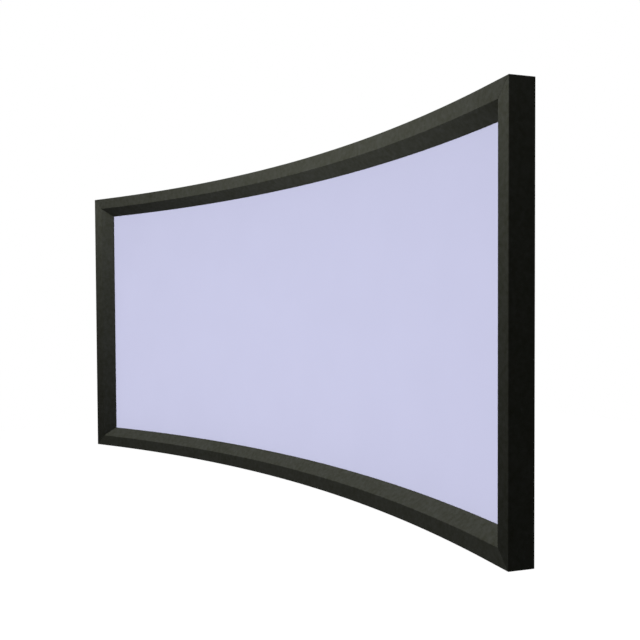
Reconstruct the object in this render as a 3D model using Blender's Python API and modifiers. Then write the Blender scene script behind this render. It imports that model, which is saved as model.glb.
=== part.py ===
# Curved fixed-frame projection screen: a picture sheet stretched in a bevelled frame
# that bends around the viewer. Metres, +Z up, the viewer sits on the -Y side.
# Run with: blender --background --python part.py

import math
from bisect import bisect_right

import bmesh
import bpy
from mathutils import Matrix, Vector

# The picture
PICTURE_WIDTH = 2.338        # measured along the arc
PICTURE_HEIGHT = 0.995
SCREEN_RADIUS = 3.55         # of the sheet's front face
ARC_FACETS = 24              # flat steps along the arc, an even count
END_STRAIGHT = 0.012         # the arc runs out straight this far inside each upright

# The frame's extrusion, as a section
FRAME_WIDTH = 0.080
BEVEL_WIDTH = 0.0345         # the sloping band beside the picture
FACE_HEIGHT = 0.046          # front face above the sheet's front
NOSE_HEIGHT = 0.005          # the bevel starts this far above the sheet
BACK_DEPTH = 0.0265          # back flange behind the sheet's front
WALL = 0.0022
EDGE_RADIUS = 0.0012
FOOT_WIDTH = 0.010           # inner foot that bears on the sheet
FLANGE_WIDTH = 0.018         # back flange, measured in from the outer wall
HOOK_LIP = 0.0075            # lip on the flange, turned towards the front
CHANNEL_WIDTH = 0.0353       # T-slot behind the front face, for keys and joiners
CHANNEL_RETURN = 0.005
KEY_THICKNESS = 0.003

# The sheet and its edges
SHEET_THICKNESS = 0.0008
SHEET_MARGIN = 0.014         # sheet hidden behind the frame on each side
HEM_THICKNESS = 0.0008
HEM_START = 0.002            # where the welded tail begins, outside the picture
HEM_END_GAP = 0.004          # hems stop this far short of the picture's corners
ROD_RADIUS = 0.002
ROD_SIDES = 6
ROD_PLACE = 0.017            # rod's centre, outside the picture
LOOP_STEP = 60               # degrees between the hem loop's corners

# The springs
SPRING_WIRE = 0.00045        # wire radius
SPRING_SIDES = 4
SPRING_RADIUS = 0.0026       # coil's mean radius
SPRING_COIL = 0.020          # coil's length when stretched
SPRING_TURNS = 4
SPRING_STEPS = 5             # points in one turn
LONG_SPRINGS = 10            # on the top, and as many below, an even count
SHORT_SPRINGS = 4            # on each upright, an even count
NOTCH_WIDTH = 0.014          # opening in the hem for a spring's hook

# Corner keys, joiners and support
KEY_LEG = 0.150
JOINER_LENGTH = 0.300
SCREW_RADIUS = 0.0025
SCREW_INSET = 0.022          # set screw holes, in from a key's or joiner's ends
HOLE_SIDES = 10
BRACE_WIDTH = 0.030
BRACE_WALL = 0.0015
CLIP_WIDTH = 0.018
CLIP_LENGTH = 0.060
CLIP_THICKNESS = 0.002
CLIP_HOOK = 0.0045

# Wall brackets
WALL_DISTANCE = 0.030        # wall to the back flange, at the middle
BRACKET_WIDTH = 0.050
BRACKET_THICKNESS = 0.003
BRACKET_PLATE = 0.095
BRACKET_HOOK = 0.010
BRACKET_PLACE = 0.434        # bracket's middle, along the arc
BRACKET_HOLE = 0.003
BRACKET_HOLE_INSET = 0.020

FIT = 0.0003                 # between pieces that touch

# What follows from the sizes
HEIGHT = PICTURE_HEIGHT + 2 * FRAME_WIDTH
HALF_PICTURE = PICTURE_WIDTH / 2
HALF_ARC = HALF_PICTURE - END_STRAIGHT
SPAN = HALF_PICTURE + FRAME_WIDTH
SHEET_BACK = -SHEET_THICKNESS
HEM_MIDDLE = SHEET_BACK - FIT - HEM_THICKNESS / 2
LOOP_RADIUS = ROD_RADIUS + FIT + HEM_THICKNESS / 2
LOOP_CORNER = LOOP_RADIUS / math.cos(math.radians(LOOP_STEP / 2))
ROD_DEPTH = HEM_MIDDLE - LOOP_RADIUS
FLANGE_TIP = FRAME_WIDTH - FLANGE_WIDTH
LIP_TOP = -BACK_DEPTH + HOOK_LIP
SLOT_FRONT = FACE_HEIGHT - WALL
SLOT_BACK = SLOT_FRONT - KEY_THICKNESS - 2 * FIT
SLOT_OUTER = FRAME_WIDTH - WALL
SLOT_INNER = SLOT_OUTER - CHANNEL_WIDTH
KEY_FRONT = SLOT_FRONT - FIT
KEY_BACK = KEY_FRONT - KEY_THICKNESS
WALL_PLANE = -BACK_DEPTH - WALL_DISTANCE

SIDES = ("top", "bottom", "left", "right")


def arc_stations():
    # Where the facets meet: distance along the arc, place, and the direction in which
    # every layer is offset there, so that all pieces share the same facets.
    turn = 2 * HALF_ARC / SCREEN_RADIUS / ARC_FACETS
    angles = [turn * (i - ARC_FACETS / 2) for i in range(ARC_FACETS + 1)]
    marks = [angle * SCREEN_RADIUS for angle in angles]
    places = [Vector((math.sin(a), math.cos(a) - 1, 0)) * SCREEN_RADIUS for a in angles]
    run = SPAN + FRAME_WIDTH - HALF_ARC
    for sign, index in ((-1, 0), (1, len(angles))):
        last = angles[0] if sign < 0 else angles[-1]
        end = places[0] if sign < 0 else places[-1]
        ahead = Vector((math.cos(last), -math.sin(last), 0)) * sign
        marks.insert(index if sign < 0 else len(marks), sign * (HALF_ARC + run))
        places.insert(index if sign < 0 else len(places), end + ahead * run)
    normals = []
    for before, after in zip(places, places[1:]):
        ahead = (after - before).normalized()
        normals.append(Vector((ahead.y, -ahead.x, 0)))
    offsets = [normals[0]]
    for one, two in zip(normals, normals[1:]):
        offsets.append((one + two) / (1 + one.dot(two)))
    offsets.append(normals[-1])
    return marks, places, normals, offsets


MARKS, PLACES, NORMALS, OFFSETS = arc_stations()


def facet_at(along):
    return min(max(bisect_right(MARKS, along) - 1, 0), len(MARKS) - 2)


def arc_point(along, depth):
    # A point by its distance along the arc and its depth in front of the sheet.
    i = facet_at(along)
    share = (along - MARKS[i]) / (MARKS[i + 1] - MARKS[i])
    place = PLACES[i].lerp(PLACES[i + 1], share)
    return place + OFFSETS[i].lerp(OFFSETS[i + 1], share) * depth


# The part's middle in depth lies between the uprights' front and the wall plates.
FRONT_MOST = arc_point(SPAN, FACE_HEIGHT).y
MIDDLE = Vector((0, (FRONT_MOST - WALL_PLANE) / 2, 0))


def frame_point(side, along, depth, outward):
    # Each side of the frame has the same three directions: along it, towards the
    # viewer, and outward from the picture's edge.
    if side == "top":
        return arc_point(along, depth) - MIDDLE + Vector((0, 0, HEIGHT - FRAME_WIDTH + outward))
    if side == "bottom":
        return arc_point(along, depth) - MIDDLE + Vector((0, 0, FRAME_WIDTH - outward))
    sign = 1 if side == "right" else -1
    return arc_point(sign * (HALF_PICTURE + outward), depth) - MIDDLE + Vector((0, 0, along))


def side_frame(side, along, depth, outward):
    # A rigid frame at that place: x along the side, y to the viewer, z outward.
    if side in ("top", "bottom"):
        normal = NORMALS[facet_at(along)]
        out = Vector((0, 0, 1 if side == "top" else -1))
    else:
        normal = NORMALS[-1 if side == "right" else 0]
        out = Vector((-normal.y, normal.x, 0)) * (1 if side == "right" else -1)
    across = normal.cross(out)
    axes = Matrix((across, normal, out)).transposed().to_4x4()
    return Matrix.Translation(frame_point(side, along, depth, outward)) @ axes


def material(name, color, roughness, metallic=0.0):
    made = bpy.data.materials.new(name)
    made.use_nodes = True
    shader = made.node_tree.nodes["Principled BSDF"]
    shader.inputs["Base Color"].default_value = (*color, 1)
    shader.inputs["Roughness"].default_value = roughness
    shader.inputs["Metallic"].default_value = metallic
    made.diffuse_color = (*color, 1)
    return made


def add_object(name, bm, paint, group):
    mesh = bpy.data.meshes.new(name)
    bm.normal_update()
    bmesh.ops.recalc_face_normals(bm, faces=bm.faces)
    bm.to_mesh(mesh)
    bm.free()
    made = bpy.data.objects.new(name, mesh)
    if paint:
        mesh.materials.append(paint)
    group.objects.link(made)
    return made


def cut_from(piece, cutter):
    cut = piece.modifiers.new("cut", "BOOLEAN")
    cut.object = cutter
    cut.operation = "DIFFERENCE"
    cut.solver = "EXACT"


def rounded(points, radii):
    # Corners named in radii are turned into short arcs of two steps.
    outline = []
    for i, point in enumerate(points):
        corner = Vector(point)
        radius = radii.get(i, 0)
        if not radius:
            outline.append(corner)
            continue
        back = (Vector(points[i - 1]) - corner).normalized()
        ahead = (Vector(points[(i + 1) % len(points)]) - corner).normalized()
        half = back.angle(ahead) / 2
        middle = corner + (back + ahead).normalized() * radius / math.sin(half)
        first = corner + back * radius / math.tan(half)
        last = corner + ahead * radius / math.tan(half)
        crown = middle + (corner - middle).normalized() * radius
        outline += [first, crown, last]
    return outline


def ribbon(points, thickness):
    # The outline of a bent strip from its middle line.
    line = [Vector(point) for point in points]
    normals = []
    for before, after in zip(line, line[1:]):
        ahead = (after - before).normalized()
        normals.append(Vector((-ahead.y, ahead.x)))
    offsets = [normals[0]]
    for one, two in zip(normals, normals[1:]):
        offsets.append((one + two) / (1 + one.dot(two)))
    offsets.append(normals[-1])
    half = thickness / 2
    upper = [point + offset * half for point, offset in zip(line, offsets)]
    lower = [point - offset * half for point, offset in zip(line, offsets)]
    return upper + lower[::-1]


def extruded(outline, start, end, slope_start=0.0, slope_end=0.0):
    # The outline's points are (outward, depth). A slope of 1 makes a mitre.
    bm = bmesh.new()
    face = bm.faces.new([bm.verts.new((0, depth, out)) for out, depth in outline])
    grown = bmesh.ops.extrude_face_region(bm, geom=[face])
    ends = [item for item in grown["geom"] if isinstance(item, bmesh.types.BMVert)]
    far = set(ends)
    for vert in bm.verts:
        if vert in far:
            vert.co.x = end + slope_end * vert.co.z
        else:
            vert.co.x = start + slope_start * vert.co.z
    return bm


def cut_at_facets(bm):
    # New edges where the arc's facets meet, so that a straight piece can be bent.
    low = min(vert.co.x for vert in bm.verts)
    high = max(vert.co.x for vert in bm.verts)
    for mark in MARKS[1:-1]:
        if low < mark < high:
            everything = bm.verts[:] + bm.edges[:] + bm.faces[:]
            bmesh.ops.bisect_plane(bm, geom=everything, dist=1e-7,
                                   plane_co=(mark, 0, 0), plane_no=(1, 0, 0))


def seat(bm, side):
    # Takes a piece modelled straight and lays it on one side of the frame.
    if side in ("top", "bottom"):
        cut_at_facets(bm)
    for vert in bm.verts:
        vert.co = frame_point(side, *vert.co)
    return bm


def frame_section():
    # Nose, bevel, face, outer wall, back flange with its hook lip, then the inside
    # with the T-slot, and the foot that bears on the sheet.
    slope = Vector((BEVEL_WIDTH, FACE_HEIGHT - NOSE_HEIGHT))
    inside = Vector((slope.y, -slope.x)).normalized() * WALL + Vector((0, NOSE_HEIGHT))
    foot_top = FIT + WALL
    lean = BEVEL_WIDTH / (FACE_HEIGHT - NOSE_HEIGHT)
    points = [
        (0, FIT),
        (0, NOSE_HEIGHT),
        (BEVEL_WIDTH, FACE_HEIGHT),
        (FRAME_WIDTH, FACE_HEIGHT),
        (FRAME_WIDTH, -BACK_DEPTH),
        (FLANGE_TIP, -BACK_DEPTH),
        (FLANGE_TIP, LIP_TOP),
        (FLANGE_TIP + WALL, LIP_TOP),
        (FLANGE_TIP + WALL, WALL - BACK_DEPTH),
        (SLOT_OUTER, WALL - BACK_DEPTH),
        (SLOT_OUTER, SLOT_BACK - WALL),
        (SLOT_OUTER - CHANNEL_RETURN, SLOT_BACK - WALL),
        (SLOT_OUTER - CHANNEL_RETURN, SLOT_BACK),
        (SLOT_OUTER, SLOT_BACK),
        (SLOT_OUTER, SLOT_FRONT),
        (SLOT_INNER, SLOT_FRONT),
        (SLOT_INNER, SLOT_BACK),
        (SLOT_INNER + CHANNEL_RETURN, SLOT_BACK),
        (SLOT_INNER + CHANNEL_RETURN, SLOT_BACK - WALL),
        (SLOT_INNER - WALL, SLOT_BACK - WALL),
        (SLOT_INNER - WALL, SLOT_FRONT),
        (inside.x + (SLOT_FRONT - inside.y) * lean, SLOT_FRONT),
        (inside.x + (foot_top - inside.y) * lean, foot_top),
        (FOOT_WIDTH, foot_top),
        (FOOT_WIDTH, FIT),
    ]
    front_corner = 3
    back_corner = 4
    return rounded(points, {front_corner: EDGE_RADIUS, back_corner: EDGE_RADIUS})


def build_bars(paint, group):
    # The top and bottom are bent extrusions in two halves; the uprights are straight.
    section = frame_section()
    mitre = FIT / math.sqrt(2)
    for side in ("top", "bottom"):
        left = extruded(section, mitre - HALF_PICTURE, -FIT / 2, slope_start=-1)
        right = extruded(section, FIT / 2, HALF_PICTURE - mitre, slope_end=1)
        add_object(f"{side}_bar_left", seat(left, side), paint, group)
        add_object(f"{side}_bar_right", seat(right, side), paint, group)
    for side in ("left", "right"):
        upright = extruded(section, FRAME_WIDTH + mitre, HEIGHT - FRAME_WIDTH - mitre,
                           slope_start=-1, slope_end=1)
        add_object(f"{side}_upright", seat(upright, side), paint, group)


def build_sheet(paint, group):
    edge = HALF_PICTURE + SHEET_MARGIN
    height = PICTURE_HEIGHT + 2 * SHEET_MARGIN
    low = -PICTURE_HEIGHT - SHEET_MARGIN
    outline = [(low, 0), (low + height, 0), (low + height, SHEET_BACK), (low, SHEET_BACK)]
    add_object("screen_sheet", seat(extruded(outline, -edge, edge), "top"), paint, group)


def hem_section():
    # A welded tail, then a loop around the rod that comes back almost to the tail.
    points = [(HEM_START, HEM_MIDDLE)]
    first = 90 - LOOP_STEP // 2
    for degrees in range(first, first - 270, -LOOP_STEP):
        angle = math.radians(degrees)
        points.append((ROD_PLACE + LOOP_CORNER * math.cos(angle),
                       ROD_DEPTH + LOOP_CORNER * math.sin(angle)))
    return ribbon(points, HEM_THICKNESS)


def side_range(side):
    # The stretch of a side between the picture's corners.
    if side in ("top", "bottom"):
        return -HALF_PICTURE, HALF_PICTURE
    return FRAME_WIDTH, HEIGHT - FRAME_WIDTH


def spring_places(side):
    low, high = side_range(side)
    count = LONG_SPRINGS if side in ("top", "bottom") else SHORT_SPRINGS
    pitch = (high - low) / count
    return [low + pitch * (i + 0.5) for i in range(count)]


def build_hems(paint, group, cutters):
    section = hem_section()
    depth = 2 * (LOOP_RADIUS + HEM_THICKNESS)
    reach = ROD_PLACE - LOOP_CORNER - HEM_THICKNESS
    for side in SIDES:
        low, high = side_range(side)
        hem = extruded(section, low + HEM_END_GAP, high - HEM_END_GAP)
        piece = add_object(f"{side}_hem", seat(hem, side), paint, group)
        boxes = bmesh.new()
        for along in spring_places(side):
            place = side_frame(side, along, HEM_MIDDLE - depth / 2 + HEM_THICKNESS, reach + depth)
            size = Matrix.Diagonal((NOTCH_WIDTH, depth, 2 * depth, 1))
            bmesh.ops.create_cube(boxes, size=1, matrix=place @ size)
        cutter = add_object(f"{side}_hem_notches", boxes, None, cutters)
        cut_from(piece, cutter)


def wire(name, points, radius, sides, paint, group):
    # A wire or rod along a line of points, with closed ends.
    curve = bpy.data.curves.new(name, "CURVE")
    curve.dimensions = "3D"
    curve.bevel_depth = radius
    curve.bevel_resolution = (sides - 4) // 2
    curve.use_fill_caps = True
    line = curve.splines.new("POLY")
    line.points.add(len(points) - 1)
    for spot, point in zip(line.points, points):
        spot.co = (*point, 1)
    curve.materials.append(paint)
    made = bpy.data.objects.new(name, curve)
    group.objects.link(made)
    return made


def build_rods(paint, group):
    for side in SIDES:
        low, high = side_range(side)
        stops = [low + HEM_END_GAP, high - HEM_END_GAP]
        if side in ("top", "bottom"):
            stops[1:1] = [mark for mark in MARKS if stops[0] < mark < stops[1]]
        points = [frame_point(side, along, ROD_DEPTH, ROD_PLACE) for along in stops]
        wire(f"{side}_rod", points, ROD_RADIUS, ROD_SIDES, paint, group)


def spring_line():
    # In the side's own plane: a hook around the rod, the coil, and a hook over the
    # lip of the back flange. The origin is the rod's centre. The hook's corners stand
    # off twice the fit, so that the straights between them keep it.
    bend = ROD_RADIUS + SPRING_WIRE + 2 * FIT
    lip = Vector((0, LIP_TOP - ROD_DEPTH, FLANGE_TIP + WALL / 2 - ROD_PLACE))
    grip = WALL / 2 + SPRING_WIRE + FIT
    over = lip + Vector((0, grip, 0))
    ahead = over.normalized()
    beside = Vector((0, ahead.z, -ahead.y))
    points = []
    for degrees in range(-10, 191, 50):
        angle = math.radians(degrees)
        points.append(beside * bend * math.cos(angle) - ahead * bend * math.sin(angle))
    middle = over.length / 2
    steps = SPRING_TURNS * SPRING_STEPS
    start = middle - SPRING_COIL / 2
    for i in range(steps + 1):
        angle = 2 * math.pi * i / SPRING_STEPS
        around = beside * -math.cos(angle) + Vector((1, 0, 0)) * math.sin(angle)
        points.append(ahead * (start + SPRING_COIL * i / steps) + around * SPRING_RADIUS)
    points.append(ahead * (over.length - 2 * grip))
    for degrees in (90, 35):
        angle = math.radians(degrees)
        points.append(lip + Vector((0, math.sin(angle), math.cos(angle))) * grip)
    points.append(lip + Vector((0, -HOOK_LIP / 4, grip)))
    return points


def build_springs(paint, group):
    line = spring_line()
    for side in SIDES:
        for i, along in enumerate(spring_places(side)):
            place = side_frame(side, along, ROD_DEPTH, ROD_PLACE)
            points = [place @ point for point in line]
            wire(f"{side}_spring_{i + 1:02d}", points, SPRING_WIRE, SPRING_SIDES, paint,
                 group)


def screw_cutter(name, places, cutters):
    # Round holes from front to back at (side, along, outward).
    holes = bmesh.new()
    for side, along, outward in places:
        place = side_frame(side, along, KEY_FRONT - KEY_THICKNESS / 2, outward)
        turn = Matrix.Rotation(math.radians(90), 4, "X")
        bmesh.ops.create_cone(holes, cap_ends=True, segments=HOLE_SIDES,
                              radius1=SCREW_RADIUS, radius2=SCREW_RADIUS,
                              depth=3 * KEY_THICKNESS, matrix=place @ turn)
    return add_object(name, holes, None, cutters)


def build_keys(paint, group, cutters):
    # An L in the T-slots of two bars that meet at a mitre, laid on the top or bottom.
    outer = SLOT_OUTER - FIT
    inner = SLOT_INNER + FIT
    middle = (outer + inner) / 2
    tip = SPAN - KEY_LEG
    for side in ("top", "bottom"):
        for end, sign in (("left", -1), ("right", 1)):
            corner = sign * (HALF_PICTURE + outer)
            turn = sign * (HALF_PICTURE + inner)
            outline = [(corner, outer), (sign * tip, outer), (sign * tip, inner), (turn, inner),
                       (turn, FRAME_WIDTH - KEY_LEG), (corner, FRAME_WIDTH - KEY_LEG)]
            bm = bmesh.new()
            corners = [bm.verts.new((along, KEY_FRONT, out)) for along, out in outline]
            grown = bmesh.ops.extrude_face_region(bm, geom=[bm.faces.new(corners)])
            moved = [item for item in grown["geom"] if isinstance(item, bmesh.types.BMVert)]
            bmesh.ops.translate(bm, vec=(0, -KEY_THICKNESS, 0), verts=moved)
            key = add_object(f"{side}_{end}_corner_key", seat(bm, side), paint, group)
            on_bar = sign * (tip + SCREW_INSET)
            on_upright = KEY_LEG - SCREW_INSET
            if side == "top":
                on_upright = HEIGHT - on_upright
            places = [(side, on_bar, middle), (end, on_upright, middle)]
            cut_from(key, screw_cutter(f"{side}_{end}_key_holes", places, cutters))


def build_joiners(paint, group, cutters):
    outer = SLOT_OUTER - FIT
    inner = SLOT_INNER + FIT
    outline = [(inner, KEY_FRONT), (outer, KEY_FRONT), (outer, KEY_BACK), (inner, KEY_BACK)]
    half = JOINER_LENGTH / 2
    for side in ("top", "bottom"):
        bm = extruded(outline, -half, half)
        joiner = add_object(f"{side}_joiner", seat(bm, side), paint, group)
        places = [(side, sign * (half - SCREW_INSET), (outer + inner) / 2) for sign in (-1, 1)]
        cut_from(joiner, screw_cutter(f"{side}_joiner_holes", places, cutters))


def build_brace(paint, clip_paint, group):
    # A flat tube behind the sheet, between the two back flanges, and a clip at each
    # end that hooks over the flange's lip.
    length = HEIGHT - 2 * (FLANGE_WIDTH + FIT)
    low = FLANGE_WIDTH + FIT
    front = LIP_TOP - FIT
    deep = front + BACK_DEPTH
    bm = bmesh.new()
    box = Matrix.Diagonal((BRACE_WIDTH, deep, length, 1))
    bmesh.ops.create_cube(bm, size=1, matrix=box)
    ends = [face for face in bm.faces if round(face.normal.z)]
    bmesh.ops.delete(bm, geom=ends, context="FACES_ONLY")
    middle = arc_point(0, front - deep / 2) - MIDDLE
    brace = add_object("centre_brace", bm, paint, group)
    brace.location = (0, middle.y, low + length / 2)
    shell = brace.modifiers.new("wall", "SOLIDIFY")
    shell.thickness = BRACE_WALL
    shell.offset = -1
    shell.use_even_offset = True
    shell.use_rim = True

    clip_middle = LIP_TOP + FIT + CLIP_THICKNESS / 2
    past_lip = FLANGE_TIP + WALL + FIT + CLIP_THICKNESS / 2
    line = [(past_lip - CLIP_LENGTH, clip_middle), (past_lip, clip_middle),
            (past_lip, clip_middle - CLIP_HOOK)]
    for side in ("top", "bottom"):
        bm = extruded(ribbon(line, CLIP_THICKNESS), -CLIP_WIDTH / 2, CLIP_WIDTH / 2)
        add_object(f"{side}_brace_clip", seat(bm, side), clip_paint, group)


def bracket_section():
    # Hook over the flange's lip, arm back to the wall, plate down the wall.
    front = LIP_TOP + FIT + BRACKET_THICKNESS
    back = LIP_TOP + FIT
    seat_out = FLANGE_TIP - FIT
    under = seat_out - BRACKET_THICKNESS
    tip = seat_out + BRACKET_HOOK
    plate_end = seat_out - BRACKET_PLATE
    inner_plane = WALL_PLANE + BRACKET_THICKNESS
    return [(tip, front), (under, front), (under, inner_plane), (plate_end, inner_plane),
            (plate_end, WALL_PLANE), (seat_out, WALL_PLANE), (seat_out, back), (tip, back)]


def build_brackets(paint, group, cutters):
    half = BRACKET_WIDTH / 2
    behind = -BACK_DEPTH - WALL_DISTANCE / 2
    for side in ("top", "bottom"):
        for end, sign in (("left", -1), ("right", 1)):
            middle = sign * BRACKET_PLACE
            bm = extruded(bracket_section(), middle - half, middle + half)
            cut_at_facets(bm)
            at_wall = [vert for vert in bm.verts if vert.co.y < behind]
            depths = {vert: vert.co.y for vert in at_wall}
            seat(bm, side)
            # The plate lies flat on the wall, whatever way the bar faces there.
            for vert in at_wall:
                vert.co.y = -depths[vert] - MIDDLE.y
            bracket = add_object(f"{side}_{end}_wall_bracket", bm, paint, group)
            holes = bmesh.new()
            across = frame_point(side, middle, WALL_PLANE, 0).x
            for outward in (FLANGE_TIP - BRACKET_PLATE + BRACKET_HOLE_INSET,
                            FLANGE_TIP - 2 * BRACKET_HOLE_INSET):
                height = frame_point(side, middle, 0, outward).z
                place = Matrix.Translation((across, -WALL_PLANE - MIDDLE.y, height))
                turn = Matrix.Rotation(math.radians(90), 4, "X")
                bmesh.ops.create_cone(holes, cap_ends=True, segments=HOLE_SIDES,
                                      radius1=BRACKET_HOLE, radius2=BRACKET_HOLE,
                                      depth=4 * BRACKET_THICKNESS, matrix=place @ turn)
            cut_from(bracket, add_object(f"{side}_{end}_bracket_holes", holes, None, cutters))


def main():
    for old in list(bpy.data.objects):
        bpy.data.objects.remove(old, do_unlink=True)
    group = bpy.data.collections.new("curved_projection_screen")
    cutters = bpy.data.collections.new("cutters")
    bpy.context.scene.collection.children.link(group)
    bpy.context.scene.collection.children.link(cutters)

    velvet = material("flocked velvet on aluminium", (0.028, 0.029, 0.025), 0.95)
    fabric = material("matt PVC projection fabric", (0.58, 0.58, 0.66), 0.85)
    webbing = material("woven polyester hem", (0.03, 0.03, 0.032), 0.8)
    fibreglass = material("pultruded fibreglass rod", (0.62, 0.60, 0.50), 0.45)
    zinc = material("zinc-plated steel", (0.62, 0.63, 0.64), 0.35, 1.0)
    anodised = material("black anodised aluminium", (0.02, 0.02, 0.022), 0.4, 0.6)
    coated = material("black powder-coated steel", (0.018, 0.018, 0.018), 0.55)

    build_bars(velvet, group)
    build_sheet(fabric, group)
    build_hems(webbing, group, cutters)
    build_rods(fibreglass, group)
    build_springs(zinc, group)
    build_keys(zinc, group, cutters)
    build_joiners(zinc, group, cutters)
    build_brace(anodised, coated, group)
    build_brackets(coated, group, cutters)

    for cutter in cutters.objects:
        cutter.hide_render = True
        cutter.display_type = "WIRE"


main()
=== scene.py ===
import math

import bpy
from mathutils import Matrix, Vector


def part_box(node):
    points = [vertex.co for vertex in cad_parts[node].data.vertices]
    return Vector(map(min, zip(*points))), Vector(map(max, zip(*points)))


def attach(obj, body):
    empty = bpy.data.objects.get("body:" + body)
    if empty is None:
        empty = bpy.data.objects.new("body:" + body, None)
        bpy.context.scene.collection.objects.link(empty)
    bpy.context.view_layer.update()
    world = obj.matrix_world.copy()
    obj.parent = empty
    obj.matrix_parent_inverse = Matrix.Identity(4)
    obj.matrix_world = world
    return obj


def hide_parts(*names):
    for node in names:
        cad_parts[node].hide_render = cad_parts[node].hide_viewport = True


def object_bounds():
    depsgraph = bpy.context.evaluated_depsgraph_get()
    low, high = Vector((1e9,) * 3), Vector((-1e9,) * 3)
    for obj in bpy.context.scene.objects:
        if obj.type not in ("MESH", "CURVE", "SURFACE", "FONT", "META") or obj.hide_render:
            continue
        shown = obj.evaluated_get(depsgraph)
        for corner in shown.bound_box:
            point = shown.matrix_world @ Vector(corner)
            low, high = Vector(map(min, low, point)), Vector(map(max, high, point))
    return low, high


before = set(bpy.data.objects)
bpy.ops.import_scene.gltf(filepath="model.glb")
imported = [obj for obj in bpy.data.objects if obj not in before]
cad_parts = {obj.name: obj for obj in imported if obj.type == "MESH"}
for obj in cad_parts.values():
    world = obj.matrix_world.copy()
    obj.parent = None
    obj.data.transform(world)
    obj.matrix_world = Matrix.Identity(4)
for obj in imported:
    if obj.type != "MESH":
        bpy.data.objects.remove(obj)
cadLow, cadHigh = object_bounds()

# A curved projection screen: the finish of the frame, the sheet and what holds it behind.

# The frame's arc, as the solids have it. Metres.
arc = {
    "radius": 3.55,          # of the sheet's front face
    "picture": 2.338,        # picture's width along the arc
    "pictureHeight": 0.995,
    "straight": 0.012,       # the arc ends this far inside each upright
    "facets": 24,            # flat steps in the solids
    "fine": 4,               # smooth steps in each of those
    "past": 0.00001,         # radians: further round than this is the straight end
    "sheet": 0.0008,         # sheet's thickness
}
height = cadHigh.z
frameWidth = (height - arc["pictureHeight"]) / 2
halfPicture = arc["picture"] / 2
halfArc = halfPicture - arc["straight"]
endAngle = halfArc / arc["radius"]
facetAngle = 2 * endAngle / arc["facets"]
arcCentre = Vector((0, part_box("screen_sheet")[1].y - arc["sheet"] - arc["radius"], 0))
sides = ("top", "bottom", "left", "right")


def arcPoint(along, depth):
    # where the frame's layers run: on the arc, and straight on past its ends
    angle = max(-endAngle, min(endAngle, along / arc["radius"]))
    outward = Vector((math.sin(angle), math.cos(angle), 0))
    onward = Vector((math.cos(angle), -math.sin(angle), 0))
    extra = along - angle * arc["radius"]
    return arcCentre + outward * (arc["radius"] - depth) + onward * extra


def unrolled(point):
    # the way back: distance along the arc, and depth in front of the sheet
    flat = Vector((point.x, point.y, 0)) - arcCentre
    angle = math.atan2(flat.x, flat.y)
    if abs(angle) <= endAngle:
        return angle * arc["radius"], arc["radius"] - flat.length
    angle = math.copysign(endAngle, angle)
    outward = Vector((math.sin(angle), math.cos(angle), 0))
    onward = Vector((math.cos(angle), -math.sin(angle), 0))
    return angle * arc["radius"] + flat.dot(onward), arc["radius"] - flat.dot(outward)


def framePoint(side, along, depth, outward):
    # along a side of the frame, towards the viewer, and outward from the picture's edge
    if side == "top":
        return arcPoint(along, depth) + Vector((0, 0, height - frameWidth + outward))
    if side == "bottom":
        return arcPoint(along, depth) + Vector((0, 0, frameWidth - outward))
    sign = 1 if side == "right" else -1
    return arcPoint(sign * (halfPicture + outward), depth) + Vector((0, 0, along))


def sideFrame(side, along, depth, outward):
    # the same place as a rigid frame: x along the side, y to the viewer, z outward
    place = framePoint(side, along, depth, outward)
    toViewer = (framePoint(side, along, depth + 0.01, outward) - place).normalized()
    out = (framePoint(side, along, depth, outward + 0.01) - place).normalized()
    axes = Matrix((toViewer.cross(out), toViewer, out)).transposed().to_4x4()
    return Matrix.Translation(place) @ axes


# Materials

def linear(code):
    # sRGB hex to the linear colour that the sockets take
    parts = [int(code[i:i + 2], 16) / 255 for i in (0, 2, 4)]
    return [c / 12.92 if c <= 0.04045 else ((c + 0.055) / 1.055) ** 2.4 for c in parts] + [1.0]


def perMetre(millimetres):
    # scale of a pattern whose grains are this wide
    return 1000 / millimetres


def wavesPerMetre(millimetres):
    # the same for a wave texture, which counts 20 radians to the unit
    return 2 * math.pi / 20 * perMetre(millimetres)


def addNode(tree, kind, settings, links=()):
    # settings are the node's own values or its sockets'; links are (socket, source) pairs
    node = tree.nodes.new(kind)
    for name, value in settings.items():
        if isinstance(name, str) and hasattr(node, name):
            setattr(node, name, value)
        else:
            node.inputs[name].default_value = value
    for name, source in links:
        tree.links.new(source, node.inputs[name])
    return node


def newMaterial(name, settings):
    made = bpy.data.materials.new(name)
    made.use_nodes = True
    shader = made.node_tree.nodes["Principled BSDF"]
    for socket, value in settings.items():
        shader.inputs[socket].default_value = value
    return made, made.node_tree, shader


def dress(tree, shader, colour, bump):
    tree.links.new(colour.outputs[2], shader.inputs["Base Color"])
    tree.links.new(bump.outputs["Normal"], shader.inputs["Normal"])


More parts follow.
